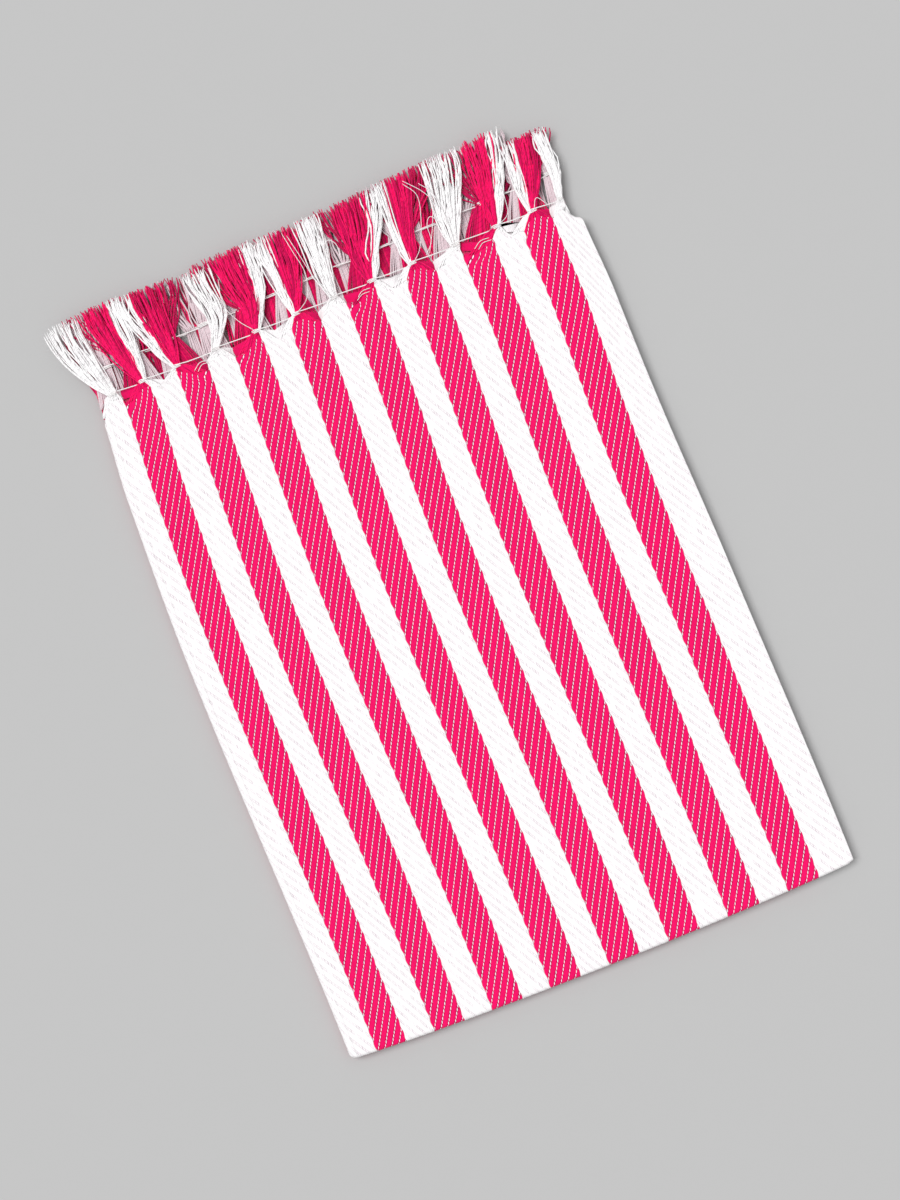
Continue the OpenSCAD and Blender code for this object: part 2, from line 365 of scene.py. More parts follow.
def band(piece, s_from, s_to, slants, materials, per_end, picks_a, picks_b):
    """A closed two-layer strip of cloth between s_from and s_to, round the
    crosswise fold, with the relief of the twill on its face. The first slant
    and material are for cloth under the fold line, the second for above."""
    weave = bpy.context.scene.mat_weave
    upper = s_from + s_to >= 0
    width = UPPER_W if upper else LOWER_W
    pitch = weave.end_pitch
    count = max(2, round((s_to - s_from) / pitch * per_end))
    face = np.linspace(s_from, s_to, count + 1)
    flat = s_from * s_to > 0 and min(abs(s_from), abs(s_to)) > FOLD_ARC - TINY
    back = np.linspace(s_to, s_from, 3 if flat else 15)
    col_s = np.concatenate([face, back, face[:1]])
    col_n = np.concatenate([face * 0, back * 0 + weave.thickness, [0.0]])
    col_face = np.concatenate([face * 0 + 1, back * 0, [1.0]])
    col_end = ends_at(col_s)
    if s_from * s_to < 0:
        col_slant = np.where(col_s < 0, *slants)
    else:
        col_slant = col_s * 0 + slants[upper]

    run = (EDGE_A - Y_FOLD - BEND_R + math.pi * BEND_R) / weave.pick_pitch
    total = CLOTH_V / weave.pick_pitch
    rows_a = np.linspace(0, run, round(run * picks_a) + 1)
    rows_b = np.linspace(run, total, round((total - run) * picks_b) + 1)[1:]
    row_pick = np.concatenate([rows_a, rows_b])

    S, P = np.meshgrid(col_s, row_pick)
    E, N, F, L = (np.broadcast_to(column, S.shape)
                  for column in (col_end, col_n, col_face, col_slant))
    V = P * weave.pick_pitch
    drawn, aside = woven_edge(fold_flat(S), width)
    near_a, near_b = smooth(1 - V / GATHER_A), smooth(1 - (CLOTH_V - V) / GATHER_B)
    V = V + drawn * near_a - (drawn + EDGE_B_BACK) * near_b
    P = V / weave.pick_pitch
    depth = N + F * twill(E, P, L, weave)
    y, h = path_point(V, depth)
    if s_from * s_to >= 0:
        S = toothed(S, P, s_from, s_to, piece.startswith("pink"), weave)
    x, y, z = fold_point(S, y, h)
    x = x + aside * (near_a ** 1.5 + near_b ** 4)
    places = np.stack([x, y, z], -1).reshape(-1, 3)

    columns, rows = len(col_s) - 1, len(row_pick) - 1
    bm = bmesh.new()
    bmesh.ops.create_grid(bm, x_segments=columns, y_segments=rows, size=1)
    layer = bm.verts.layers.float_vector.new("weave")
    weaves = np.stack([E, P, F], -1).reshape(-1, 3)
    bm.verts.ensure_lookup_table()
    order = np.array([(v.co.y, v.co.x) for v in bm.verts])
    row = np.round((order[:, 0] + 1) / 2 * rows).astype(int)
    col = np.round((order[:, 1] + 1) / 2 * columns).astype(int)
    index = row * (columns + 1) + col
    for v, place, w in zip(bm.verts, places[index].tolist(), weaves[index].tolist()):
        v.co = place
        v[layer] = w
    if s_from * s_to < 0:
        for f in bm.faces:
            f.material_index = int(sum(v[layer][0] for v in f.verts) > 0)
    seam = [v for v, c in zip(bm.verts, col) if c in (0, columns)]
    bmesh.ops.remove_doubles(bm, verts=seam, dist=1e-7)
    rim = [e for e in bm.edges if e.is_boundary]
    bmesh.ops.holes_fill(bm, edges=rim, sides=0)
    bmesh.ops.recalc_face_normals(bm, faces=bm.faces)
    return finish_piece(bm, piece, materials)


def finish_piece(bm, name, materials):
    mesh = bpy.data.meshes.new(name)
    for face in bm.faces:
        face.smooth = True
    bm.to_mesh(mesh)
    bm.free()
    for material in materials:
        mesh.materials.append(material)
    piece = bpy.data.objects.new(name, mesh)
    bpy.context.scene.collection.objects.link(piece)
    return piece


# ---------------------------------------------------------------- materials
def new_group(name, inputs, outputs):
    tree = bpy.data.node_groups.new(name, "ShaderNodeTree")
    for label, value in inputs:
        socket = tree.interface.new_socket(label, in_out="INPUT",
                                           socket_type="NodeSocketFloat")
        socket.default_value = value
    for label in outputs:
        tree.interface.new_socket(label, in_out="OUTPUT", socket_type="NodeSocketFloat")
    return tree, tree.nodes.new("NodeGroupInput"), tree.nodes.new("NodeGroupOutput")


class Tree:
    """Short ways to add nodes and links to a shader tree."""

    def __init__(self, tree):
        self.tree = tree

    def put(self, socket, value):
        if isinstance(value, bpy.types.NodeSocket):
            self.tree.links.new(value, socket)
        else:
            socket.default_value = value

    def maths(self, operation, *values):
        node = self.tree.nodes.new("ShaderNodeMath")
        node.operation = operation
        for socket, value in zip(node.inputs, values):
            self.put(socket, value)
        return node.outputs[0]

    def ramp(self, value, low, high, to_low=0.0, to_high=1.0):
        node = self.tree.nodes.new("ShaderNodeMapRange")
        node.interpolation_type = "SMOOTHSTEP"
        for label, given in (("Value", value), ("From Min", low), ("From Max", high),
                             ("To Min", to_low), ("To Max", to_high)):
            self.put(node.inputs[label], given)
        return node.outputs[0]

    def noise(self, vector, scale, detail=2.0, roughness=0.5):
        node = self.tree.nodes.new("ShaderNodeTexNoise")
        self.put(node.inputs["Vector"], vector)
        node.inputs["Scale"].default_value = scale
        node.inputs["Detail"].default_value = detail
        node.inputs["Roughness"].default_value = roughness
        return node.outputs["Fac"]

    def combine(self, x, y, z):
        node = self.tree.nodes.new("ShaderNodeCombineXYZ")
        for socket, value in zip(node.inputs, (x, y, z)):
            self.put(socket, value)
        return node.outputs[0]

    def attribute(self, name):
        node = self.tree.nodes.new("ShaderNodeAttribute")
        node.attribute_name = name
        split = self.tree.nodes.new("ShaderNodeSeparateXYZ")
        self.tree.links.new(node.outputs["Vector"], split.inputs[0])
        return split.outputs

    def mix(self, factor, a, b):
        node = self.tree.nodes.new("ShaderNodeMix")
        node.data_type = "RGBA"
        self.put(node.inputs["Factor"], factor)
        for label, value in (("A", a), ("B", b)):
            socket = [i for i in node.inputs if i.name == label and i.type == "RGBA"][0]
            plain = not isinstance(value, bpy.types.NodeSocket)
            self.put(socket, (*value, 1) if plain else value)
        return [o for o in node.outputs if o.type == "RGBA"][0]

    def group(self, tree, **values):
        node = self.tree.nodes.new("ShaderNodeGroup")
        node.node_tree = tree
        for label, value in values.items():
            self.put(node.inputs[label.replace("_", " ")], value)
        return node.outputs

    def bump(self, height, distance, strength=1.0):
        node = self.tree.nodes.new("ShaderNodeBump")
        node.inputs["Distance"].default_value = distance
        node.inputs["Strength"].default_value = strength
        self.put(node.inputs["Height"], height)
        return node.outputs[0]

    def position(self):
        return self.tree.nodes.new("ShaderNodeTexCoord").outputs["Object"]


def twill_group():
    """Where the weft shows, how deep the groove is and the height of the face."""
    found = bpy.data.node_groups.get("Twill face")
    if found:
        return found
    tree, given, put = new_group(
        "Twill face", [("Ends", 0), ("Picks", 0), ("Slant", 1)],
        ["Weft", "Groove", "Pit", "Height"])
    t = Tree(tree)
    ends, picks, slant = (given.outputs[label] for label in ("Ends", "Picks", "Slant"))
    end = t.maths("FLOOR", ends)
    across = t.maths("SUBTRACT", t.maths("SUBTRACT", ends, end), 0.5)
    shifted = t.maths("ADD", picks, t.maths("MULTIPLY", slant, end))
    wrapped = t.maths("WRAP", shifted, 2.0, -2.0)
    along = t.maths("ADD", wrapped, t.maths("MULTIPLY", slant, across))
    place = t.combine(end, t.maths("SUBTRACT", shifted, wrapped), 0.0)
    chance = t.noise(place, 0.83, 1.0, 0.5)
    aa = t.maths("POWER", t.maths("DIVIDE", across, 0.40), 2.0)
    long = t.ramp(chance, 0.3, 0.7, 0.25, 0.37)
    bb = t.maths("POWER", t.maths("DIVIDE", along, long), 2.0)
    reach = t.maths("ADD", aa, bb)
    weft = t.ramp(reach, 1.1, 0.6)
    side = t.maths("ABSOLUTE", t.maths("MULTIPLY", across, 2.0))
    between = t.ramp(side, 0.72, 1.0)
    near = t.ramp(t.maths("ABSOLUTE", along), 0.95, 0.45)
    near = t.maths("MULTIPLY", near, t.ramp(chance, 0.35, 0.6, 0.25, 1.0))
    groove = t.maths("MAXIMUM", t.maths("MULTIPLY", between, 0.3),
                     t.maths("MULTIPLY", near, t.maths("SUBTRACT", 1.0, weft)))
    beside = t.maths("MULTIPLY", t.ramp(side, 0.45, 0.80),
                     t.ramp(t.maths("ABSOLUTE", along), 0.85, 0.40))
    place = t.combine(t.maths("ROUND", ends), t.maths("ROUND", picks), 7.0)
    luck = t.noise(place, 0.9, 1.0, 0.5)
    # pit: a small opening beside the weft, which the material fills with painted shade
    pit_shade = t.maths("MULTIPLY", beside, t.ramp(luck, 0.38, 0.52))
    height = t.maths("SUBTRACT", 1.0, t.maths("MULTIPLY", groove, 0.8))
    tree.links.new(pit_shade, put.inputs["Pit"])
    tree.links.new(weft, put.inputs["Weft"])
    tree.links.new(groove, put.inputs["Groove"])
    tree.links.new(height, put.inputs["Height"])
    return tree


def fibre_group():
    """Fine fibre streaks and the slow unevenness of dyed cotton."""
    found = bpy.data.node_groups.get("Cotton fibre")
    if found:
        return found
    tree, given, put = new_group(
        "Cotton fibre", [("Along", 0), ("Across", 0), ("Streak", 5)], ["Fibre", "Shade"])
    t = Tree(tree)
    along, across = given.outputs["Along"], given.outputs["Across"]
    stretched = t.combine(t.maths("MULTIPLY", across, given.outputs["Streak"]), along, 0.0)
    fibre = t.noise(stretched, 3.0, 4.0, 0.65)
    per_end = t.combine(t.maths("FLOOR", across), t.maths("MULTIPLY", along, 0.02), 3.0)
    shade = t.noise(per_end, 1.7, 2.0, 0.5)
    tree.links.new(fibre, put.inputs["Fibre"])
    tree.links.new(shade, put.inputs["Shade"])
    return tree


def ply_group():
    """Groove between the plies of a twisted yarn."""
    found = bpy.data.node_groups.get("Yarn plies")
    if found:
        return found
    tree, given, put = new_group(
        "Yarn plies", [("Along", 0), ("Cosine", 1), ("Sine", 0), ("Pitch", 0.002)],
        ["Groove", "Height"])
    t = Tree(tree)
    angle = t.maths("ARCTAN2", given.outputs["Sine"], given.outputs["Cosine"])
    turn = t.maths("DIVIDE", angle, math.pi)
    pitches = t.maths("DIVIDE", given.outputs["Along"], given.outputs["Pitch"])
    place = t.maths("ADD", pitches, turn)
    ply = t.maths("ABSOLUTE", t.maths("WRAP", place, 1.0, -1.0))
    groove = t.ramp(ply, 0.62, 1.0)
    tree.links.new(groove, put.inputs["Groove"])
    tree.links.new(t.maths("SUBTRACT", 1.0, groove), put.inputs["Height"])
    return tree


def new_material(name, sheen=0.1):
    material = bpy.data.materials.new(name)
    material.use_nodes = True
    shader = material.node_tree.nodes["Principled BSDF"]
    shader.inputs["Sheen Weight"].default_value = sheen
    shader.inputs["Sheen Roughness"].default_value = 0.5
    shader.inputs["Specular IOR Level"].default_value = 0.15
    return material, Tree(material.node_tree), shader


def twill_material(name, colour, shade_and_tone, pit_shade, weft, slant, even):
    found = bpy.data.materials.get(name)
    if found:
        return found
    material, t, shader = new_material(name)
    ends, picks, face = t.attribute("weave")
    cloth = t.group(twill_group(), Ends=ends, Picks=picks, Slant=float(slant))
    fibre = t.group(fibre_group(), Along=picks, Across=ends)
    # the warp is painted darker in its grooves and beside the weft's dips: painted shade
    depth = t.maths("MULTIPLY", cloth["Groove"], face)
    warp = t.mix(t.maths("MULTIPLY", depth, 0.85), colour, shade_and_tone)
    dull = t.ramp(fibre["Shade"], 0.35, 0.7, 0.0, 0.2)
    streak = t.ramp(fibre["Fibre"], 0.35, 0.75, 0.0, 0.14)
    warp = t.mix(t.maths("ADD", dull, streak), warp, shade_and_tone)
    shown = t.mix(t.maths("MULTIPLY", cloth["Weft"], face), warp, weft)
    # small dark pits beside each weft dash: painted shade, in the white only in patches
    open_pit_shade = t.maths("MULTIPLY", cloth["Pit"], t.maths("SUBTRACT", 1.0, cloth["Weft"]))
    place = t.combine(t.maths("MULTIPLY", ends, 0.3), t.maths("MULTIPLY", picks, 0.25), 1.0)
    patches = t.maths("MAXIMUM", t.ramp(t.noise(place, 1.0), 0.45, 0.65), even)
    open_pit_shade = t.maths("MULTIPLY", open_pit_shade, patches)
    shown = t.mix(t.maths("MULTIPLY", open_pit_shade, 0.7), shown, pit_shade)
    # the back face is painted at least 15% darker, with fibre streaks: painted shade for the
    # inner layer seen between the tassels
    back = t.mix(t.ramp(fibre["Fibre"], 0.3, 0.8, 0.15, 0.6), colour, shade_and_tone)
    shown = t.mix(face, back, shown)
    t.put(shader.inputs["Base Color"], shown)
    t.put(shader.inputs["Roughness"], t.ramp(fibre["Fibre"], 0.2, 0.8, 0.78, 0.95))
    height = t.maths("ADD", cloth["Height"], t.maths("MULTIPLY", fibre["Fibre"], 0.25))
    t.put(shader.inputs["Normal"], t.bump(height, 0.22 * MM, 0.7))
    return material


def stripe_material(name):
    colours = bpy.context.scene.mat_colours
    white, shade_and_tone = tuple(colours.white), tuple(colours.white_shade_and_tone)
    if name.startswith("pink"):
        return twill_material("Pink twill", tuple(colours.pink), tuple(colours.pink_shade_and_tone),
                              tuple(colours.pink_pit_shade), tuple(colours.weft), 1, 1.0)
    return twill_material("White twill", white, shade_and_tone, tuple(colours.white_pit_shade), white,
                          -1, 0.0)


def yarn_material(name, colour, shade_and_tone, pitch=1.6 * MM, sheen=0.12):
    found = bpy.data.materials.get(name)
    if found:
        return found
    material, t, shader = new_material(name, sheen)
    along, cosine, sine = t.attribute("strand")
    plies = t.group(ply_group(), Along=along, Cosine=cosine, Sine=sine, Pitch=pitch)
    fuzz = t.noise(t.position(), 1800.0, 3.0, 0.6)
    shade = t.noise(t.position(), 160.0, 2.0, 0.5)
    # the yarn is painted darker in the grooves between its plies, painted shade, and in slow
    # random patches of tone
    ply_shade_and_tone = t.maths("ADD", t.maths("MULTIPLY", plies["Groove"], 0.35),
                   t.ramp(shade, 0.35, 0.75, 0.0, 0.2))
    body = t.mix(ply_shade_and_tone, colour, shade_and_tone)
    t.put(shader.inputs["Base Color"], body)
    t.put(shader.inputs["Roughness"], t.ramp(fuzz, 0.3, 0.7, 0.75, 0.95))
    height = t.maths("ADD", plies["Height"], t.maths("MULTIPLY", fuzz, 0.3))
    t.put(shader.inputs["Normal"], t.bump(height, 0.2 * MM, 0.8))
    return material


def pink_yarn(inner=False):
    """The pink fringe yarn; that of the inner layers is painted darker, as painted shade for
    the rows under the front row.
    """
    colours = bpy.context.scene.mat_colours
    if inner:
        return yarn_material("Inner pink yarn in painted shade", tuple(colours.pink_inner_shade),
                             tuple(colours.pink_shade_and_tone))
    return yarn_material("Pink yarn", tuple(colours.pink), tuple(colours.pink_shade_and_tone))


def white_yarn(inner=False):
    colours = bpy.context.scene.mat_colours
    # the inner white yarn is grey-pink: painted shade with a painted pink reflection
    if inner:
        return yarn_material("Inner white yarn in painted shade", tuple(colours.white_inner_shade),
                             tuple(colours.white_shade_and_tone))
    return yarn_material("White yarn", tuple(colours.white), tuple(colours.white_shade_and_tone))


def thread_cotton():
    colours = bpy.context.scene.mat_colours
    return yarn_material("Tie thread cotton", tuple(colours.thread),
                         tuple(colours.white_shade_and_tone), 1.1 * MM)


# -------------------------------------------------------------------- yarns
def rounded(points, count):
    """count points along a smooth curve through the given ones."""
    points = np.asarray(points, float)
    before, after = 2 * points[:1] - points[1:2], 2 * points[-1:] - points[-2:-1]
    padded = np.concatenate([before, points, after])
    spans = len(points) - 1
    t = np.linspace(0, spans - 1e-9, count)
    k = t.astype(int)
    f = (t - k)[:, None]
    a, b, c, d = padded[k], padded[k + 1], padded[k + 2], padded[k + 3]
    return 0.5 * (2 * b + (c - a) * f + (2 * a - 5 * b + 4 * c - d) * f ** 2
                  + (3 * b - a - 3 * c + d) * f ** 3)


def add_yarn(bm, line, radius, sides=5, material=0, tip=0.55):
    """One round yarn along a line of points, added to a bmesh."""
    layer = bm.verts.layers.float_vector.get("strand")
    if layer is None:
        layer = bm.verts.layers.float_vector.new("strand")
    step = np.gradient(line, axis=0)
    step /= np.linalg.norm(step, axis=1)[:, None] + 1e-12
    side = np.cross(step, [0.0, 0.0, 1.0])
    side /= np.linalg.norm(side, axis=1)[:, None] + 1e-9
    lift = np.cross(side, step)
    length = np.concatenate([[0], np.cumsum(np.linalg.norm(np.diff(line, axis=0), axis=1))])
    sizes = np.full(len(line), radius)
    sizes[-1] *= tip
    turns = np.linspace(0, 2 * math.pi, sides + 1)
    c, s = np.cos(turns), np.sin(turns)
    places = (line[:, None] + sizes[:, None, None] * (
        c[None, :, None] * side[:, None] + s[None, :, None] * lift[:, None]))
    rows = len(line) - 1
    made = bmesh.ops.create_grid(bm, x_segments=sides, y_segments=rows, size=1)["verts"]
    ends = []
    for v in made:
        row = round((v.co.y + 1) / 2 * rows)
        col = round((v.co.x + 1) / 2 * sides)
        v[layer] = (length[row], c[col], s[col])
        v.co = places[row, col]
        if col in (0, sides):
            ends.append(v)
    faces = {f for v in made for f in v.link_faces}
    for f in faces:
        f.material_index = material
    bmesh.ops.remove_doubles(bm, verts=ends, dist=1e-8)


def close_yarns(bm):
    rim = [e for e in bm.edges if e.is_boundary]
    filled = bmesh.ops.holes_fill(bm, edges=rim, sides=0)["faces"]
    for f in filled:
        near = [g for e in f.edges for g in e.link_faces if g is not f]
        if near:
            f.material_index = near[0].material_index
    bmesh.ops.recalc_face_normals(bm, faces=bm.faces)


def edge_ends(upper):
    """Every warp end of a half: (stripe, signed distance from the fold line)."""
    layout = cloth_layout()
    ends = []
    for name in STRIPES_UPPER if upper else STRIPES_LOWER:
        low, high, first, last = layout[name]
        count = last - first
        places = [low + (k + 0.5) * (high - low) / count for k in range(count)]
        ends += [(name, s) for s in (places if upper else reversed(places))]
    return ends


def front_groups():
    """The warp ends that each of the thirteen front tassels gathers."""
    groups = [[] for _ in range(TASSELS)]
    layout = cloth_layout()
    for name, s in edge_ends(True):
        if name == "selvedge_r":
            groups[TASSELS - 1].append((name, s))
            continue
        number = int(name[-1])
        pair = (number - 1) // 2 if number else 0
        if number == 0:
            target = 0
        elif name.startswith("pink"):
            target = 3 * pair + (1 if number % 2 else 2)
        elif number % 2:
            s0, s1 = layout[name][:2]
            target = 3 * pair + (1 if s < (s0 + s1) / 2 else 2)
        else:
            target = 3 * pair + 3
        groups[target].append((name, s))
    return [fuller(group) for group in groups]


def fuller(group):
    """A group with two plies for every warp end, and three for every third."""
    return [end for k, end in enumerate(group) for _ in range(3 if k % 3 == 0 else 2)]


# Lean of the tips, width of the fan, sideways bow and change of length of each
# front tassel, in millimetres, as the hand left them.
FRONT_FANS = [
    (-13.5, 21.0, 0.5, -1.0), (-8.5, 23.5, 1.0, 0.5), (-7.5, 26.0, 1.0, -1.0),
    (4.0, 16.0, 5.5, -4.0), (3.0, 26.0, 3.0, -1.0), (3.0, 24.0, 0.5, -2.0),
    (1.0, 13.5, -0.5, -2.0), (8.0, 28.0, -2.0, -2.0), (5.0, 19.0, -1.5, -0.5),
    (9.0, 21.0, -2.0, 0.5), (9.5, 21.0, -1.0, 1.0), (6.5, 20.0, -1.0, -9.0),
    (2.5, 9.0, 2.5, -10.0),
]


# Loose white ends: the tassel that each comes from, and its way from there, in
# millimetres to the right of its knot and above the line of knots. Those with
# negative heights are ends of weft that lie on the cloth.
STRAYS = [
    (0, (1, -1), (3.4, 2.3), (4.8, 8), (4.6, 12.5)),
    (2, (18.5, -4.0), (13.7, -3.6), (9, -6.8)),
    (2, (18.5, -5.4), (14.5, -5.2), (11, -8.0)),
    (4, (-1, 1), (-8, 10), (-12.5, 22), (-9.7, 36)),
    (5, (1, 0), (9.5, 6.0), (13.7, 19), (11.5, 33), (9.3, 45.3)),
    (6, (-1, 1), (-6.5, 14), (-9.5, 29), (-12.5, 43)),
    (6, (1, 1), (4, 25), (8.5, 31), (12.5, 27), (12, 19)),
    (7, (-10.8, -5.5), (-7.4, -3.3), (-2.3, -3.4)),
    (7, (-12.0, -7.0), (-8.0, -5.0), (-3.5, -5.2)),
    (8, (1, 0), (7, 6), (13.0, 19), (16.5, 33.6), (11, 43.5)),
    (8, (9, 1), (14.5, 7), (15.5, 16), (19, 20), (23.4, 14.3)),
    (8, (11, 1), (18, 14), (22.8, 27), (20, 35), (11.5, 45)),
    (9, (0, 1), (0.5, 18), (-1.5, 32), (-7, 40)),
    (10, (1, 0), (8.5, 4), (10.5, 15), (11.4, 30)),
    (10, (-16, -6.8), (-11.4, -4.0), (-6.0, -4.2)),
    (10, (-14, -8.0), (-10.4, -5.6), (-5.0, -5.8)),
    (11, (-0.5, 0), (-2.8, 11), (0.6, 23), (-2.6, 35)),
    (11, (1, 0), (4.6, 5.7), (9, 0)),
]


def stray_lines(i, rng):
    """The loose white ends that come from front tassel i."""
    lines = []
    for owner, *way in STRAYS:
        if owner == i:
            lift = FOLD_R + (0.2 if way[0][1] < -2 else 1.1) * MM
            points = [settled(X_FOLD + KNOTS_UPPER[i] + dx * MM, KNOTS_A + dy * MM,
                              lift + rng.uniform(-0.1, 0.2) * MM, 1) for dx, dy in way]
            lines.append(rounded(points, 5 * len(points)))
    return lines


def tassel_lines(group, knot, edge, knots_y, tips_y, level, fan, width, upper, rng, count,
                 waist, back=0.0, hidden=False):
    """The lines that the yarns of one tassel follow, with each one's colour."""
    lean, spread, bow, longer = (value * MM for value in fan)
    side = 1 if upper else -1
    lines = []
    for rank, (name, s) in enumerate(group):
        share = (rank + 0.5) / len(group) - 0.5
        is_pink = name.startswith("pink")
        loose = 2.0 if hidden else 1.0
        wide = (1.5 if is_pink else 0.7) if hidden and upper else 1.0
        fx = float(fold_flat(s))
        drawn, aside = (float(a[0]) for a in woven_edge(np.array([fx]), width))
        edge_y = edge - drawn - back
        fx += aside
        fx += rng.uniform(-0.2, 0.2) * loose * MM
        low = level[0] + rng.uniform(-0.3, 0.2) * loose * MM
        drop = 0.8 * MM if hidden and not is_pink else 0.0
        low -= drop
        start = settled(X_FOLD + fx - aside * 0.15, edge_y - 2.0 * MM, low - 0.3 * MM, side)
        kx = X_FOLD + knot + share * waist + rng.uniform(-0.25, 0.25) * MM
        kz = level[1] - drop + rng.uniform(-0.9, 0.7) * MM
        tx = X_FOLD + knot + lean + share * spread * wide + rng.gauss(0, 1.5) * MM
        ty = tips_y + longer + rng.uniform(-2.6, 1.2) * MM
        tz = level[2] - drop + rng.uniform(-1.2, 1.0) * MM
        sway = rng.gauss(0, 0.75) * MM
        away = kx - X_FOLD - fx
        points = [
            start,
            settled(X_FOLD + fx + away * 0.10, edge_y + 0.8 * MM, low, side),
            settled(X_FOLD + fx + away * 0.74, knots_y - 1.5 * MM,
                    (level[0] + kz) / 2, side),
            settled(kx, knots_y - 0.1 * MM, kz, side),
        ]
        for f, bend in ((0.14, 0.8), (0.34, 1.0), (0.58, 0.75), (0.82, 0.3)):
            px = kx + (tx - kx) * (1 - (1 - f) ** 1.8)
            px += bow * bend * math.sin(math.pi * f ** 0.8)
            px += sway * math.sin(math.pi * 2.2 * f + rank)
            pz = kz + (tz - kz) * f + rng.uniform(-0.25, 0.25) * MM
            points.append(settled(px, knots_y + (ty - knots_y) * f, pz, side))
        points.append(settled(tx, ty, tz, side))
        line = rounded(points, count)
        t = np.linspace(0, 1, count)
        angle = WAVES * 2 * math.pi * t + rng.uniform(0, 2 * math.pi)
        wave = rng.gauss(0, WAVE) * smooth((t - 0.3) / 0.3)
        line[:, 0] += wave * np.sin(angle)
        line[:, 2] += 0.5 * wave * np.cos(angle)
        lines.append((line, is_pink))
    return lines


def settled(x, y, h, side):
    """A point near the cloth at height h from the middle level."""
    px, py, pz = settle(np.array([x]), np.array([y]), np.array([MID_Z + side * h]))
    return np.array([px[0], py[0], pz[0]])


def fold_flat(s):
    """Distance from the silhouette, seen from above, of cloth at s."""
    away = np.abs(s)
    on_arc = FOLD_R - FOLD_R * np.cos(np.minimum(away, FOLD_ARC) / FOLD_R)
    return np.where(away < FOLD_ARC, on_arc, FOLD_R + away - FOLD_ARC)


# ---------------------------------------------------------------- operators
class BATHMAT_OT_stage(Operator):
    """Floor, soft light and the camera above the mat"""
    bl_idname = "bathmat.stage"
    bl_label = "Stage and camera"

    def execute(self, context):
        settings, colours = context.scene.mat_stage, context.scene.mat_colours
        scene = context.scene
        scene.view_settings.view_transform = "Standard"
        bm = bmesh.new()
        bmesh.ops.create_grid(bm, x_segments=8, y_segments=8, size=4.0)
        material, t, shader = new_material("Pale floor", 0.0)
        speck = t.noise(t.position(), 60.0, 3.0, 0.5)
        tone = tuple(colours.floor)
        darker = tuple(c * 0.99 for c in tone)
        t.put(shader.inputs["Base Color"], t.mix(speck, tone, darker))
        t.put(shader.inputs["Roughness"], t.ramp(speck, 0.3, 0.7, 0.9, 0.95))
        shader.inputs["Specular IOR Level"].default_value = 0.0
        floor = finish_piece(bm, "floor", [material])

        world = bpy.data.worlds.new("Soft room")
        scene.world = world
        world.use_nodes = True
        background = world.node_tree.nodes["Background"]
        background.inputs["Color"].default_value = (1, 1, 1, 1)
        background.inputs["Strength"].default_value = 0.5
        lamp = bpy.data.lights.new("Soft window", "SUN")
        lamp.energy = 2.25
        lamp.angle = math.radians(35)
        light = bpy.data.objects.new("Soft window", lamp)
        light.rotation_euler = (math.radians(-16), math.radians(-20), 0)
        light.location = (-0.6, 0.6, 1.6)
        scene.collection.objects.link(light)

        data = bpy.data.cameras.new("Camera")
        data.sensor_fit = "HORIZONTAL"
        data.sensor_width = SENSOR
        data.lens = SENSOR * settings.camera_height / settings.view_width
        camera = bpy.data.objects.new("Camera", data)
        camera.location = (X_FOLD + VIEW_CENTRE[0], Y_FOLD + VIEW_CENTRE[1],
                           STACK + settings.camera_height)
        camera.rotation_euler = (0, 0, settings.camera_turn)
        scene.collection.objects.link(camera)
        scene.camera = camera
        return {"FINISHED"}


def stripe_piece(name, s0, s1, body, per_end, picks_a, picks_b):
    """One stripe's flat cloth, riding on its half of the mat."""
    slant = 1 if name.startswith("pink") else -1
    piece = band(name + "_cloth", s0, s1, (slant, slant), [stripe_material(name)],
                 per_end, picks_a, picks_b)
    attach(piece, body)
    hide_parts(name)


class BATHMAT_OT_upper_stripes(Operator):
    """The stripes of the upper half, each round the crosswise fold"""
    bl_idname = "bathmat.upper_stripes"
    bl_label = "Upper stripes"

    def execute(self, context):
        layout = cloth_layout()
        for name in STRIPES_UPPER:
            s0, s1 = layout[name][:2]
            stripe_piece(name, max(s0, FOLD_ARC), s1, "upper_half", 2, 2, 1)
        return {"FINISHED"}


class BATHMAT_OT_lower_stripes(Operator):
    """The stripes of the lower half, each round the crosswise fold"""
    bl_idname = "bathmat.lower_stripes"
    bl_label = "Lower stripes"

    def execute(self, context):
        layout = cloth_layout()
        for name in STRIPES_LOWER:
            s0, s1 = layout[name][:2]
            stripe_piece(name, s0, min(s1, -FOLD_ARC), "lower_half", 1, 1, 1)
        return {"FINISHED"}


class BATHMAT_OT_fold_wrap(Operator):
    """The cloth that turns round the lengthwise fold, half white, half pink"""
    bl_idname = "bathmat.fold_wrap"
    bl_label = "Fold wrap"

    def execute(self, context):
        piece = band("fold_wrap_cloth", -FOLD_ARC, FOLD_ARC, (1, -1),
                     [stripe_material("pink_l1"), stripe_material("white_r0")], 2, 2, 1)
        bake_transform(piece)
        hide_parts("white_r0", "pink_l1")
        return {"FINISHED"}


def tassel_piece(name, lines, sides, body, node, radius, rng, strays=()):
    """The yarns of a tassel, or of a row of them, as one piece."""
    bm = bmesh.new()
    for line, is_pink in lines:
        shade = 2 if rng.random() < DEEP_SHARE else 0
        size = radius * rng.uniform(*YARN_SIZES)
        add_yarn(bm, line, size, sides, shade if is_pink else 1)
    for line in strays:
        add_yarn(bm, line, radius * STRAY_SIZE, sides, 1)
    close_yarns(bm)
    # the inner rows take the yarns in painted shade, the front row the bright ones
    inner = node.startswith("tassels")
    materials = [pink_yarn(inner), white_yarn(inner), pink_yarn(not inner)]
    piece = finish_piece(bm, name, materials)
    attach(piece, body)
    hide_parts(node)
    return piece


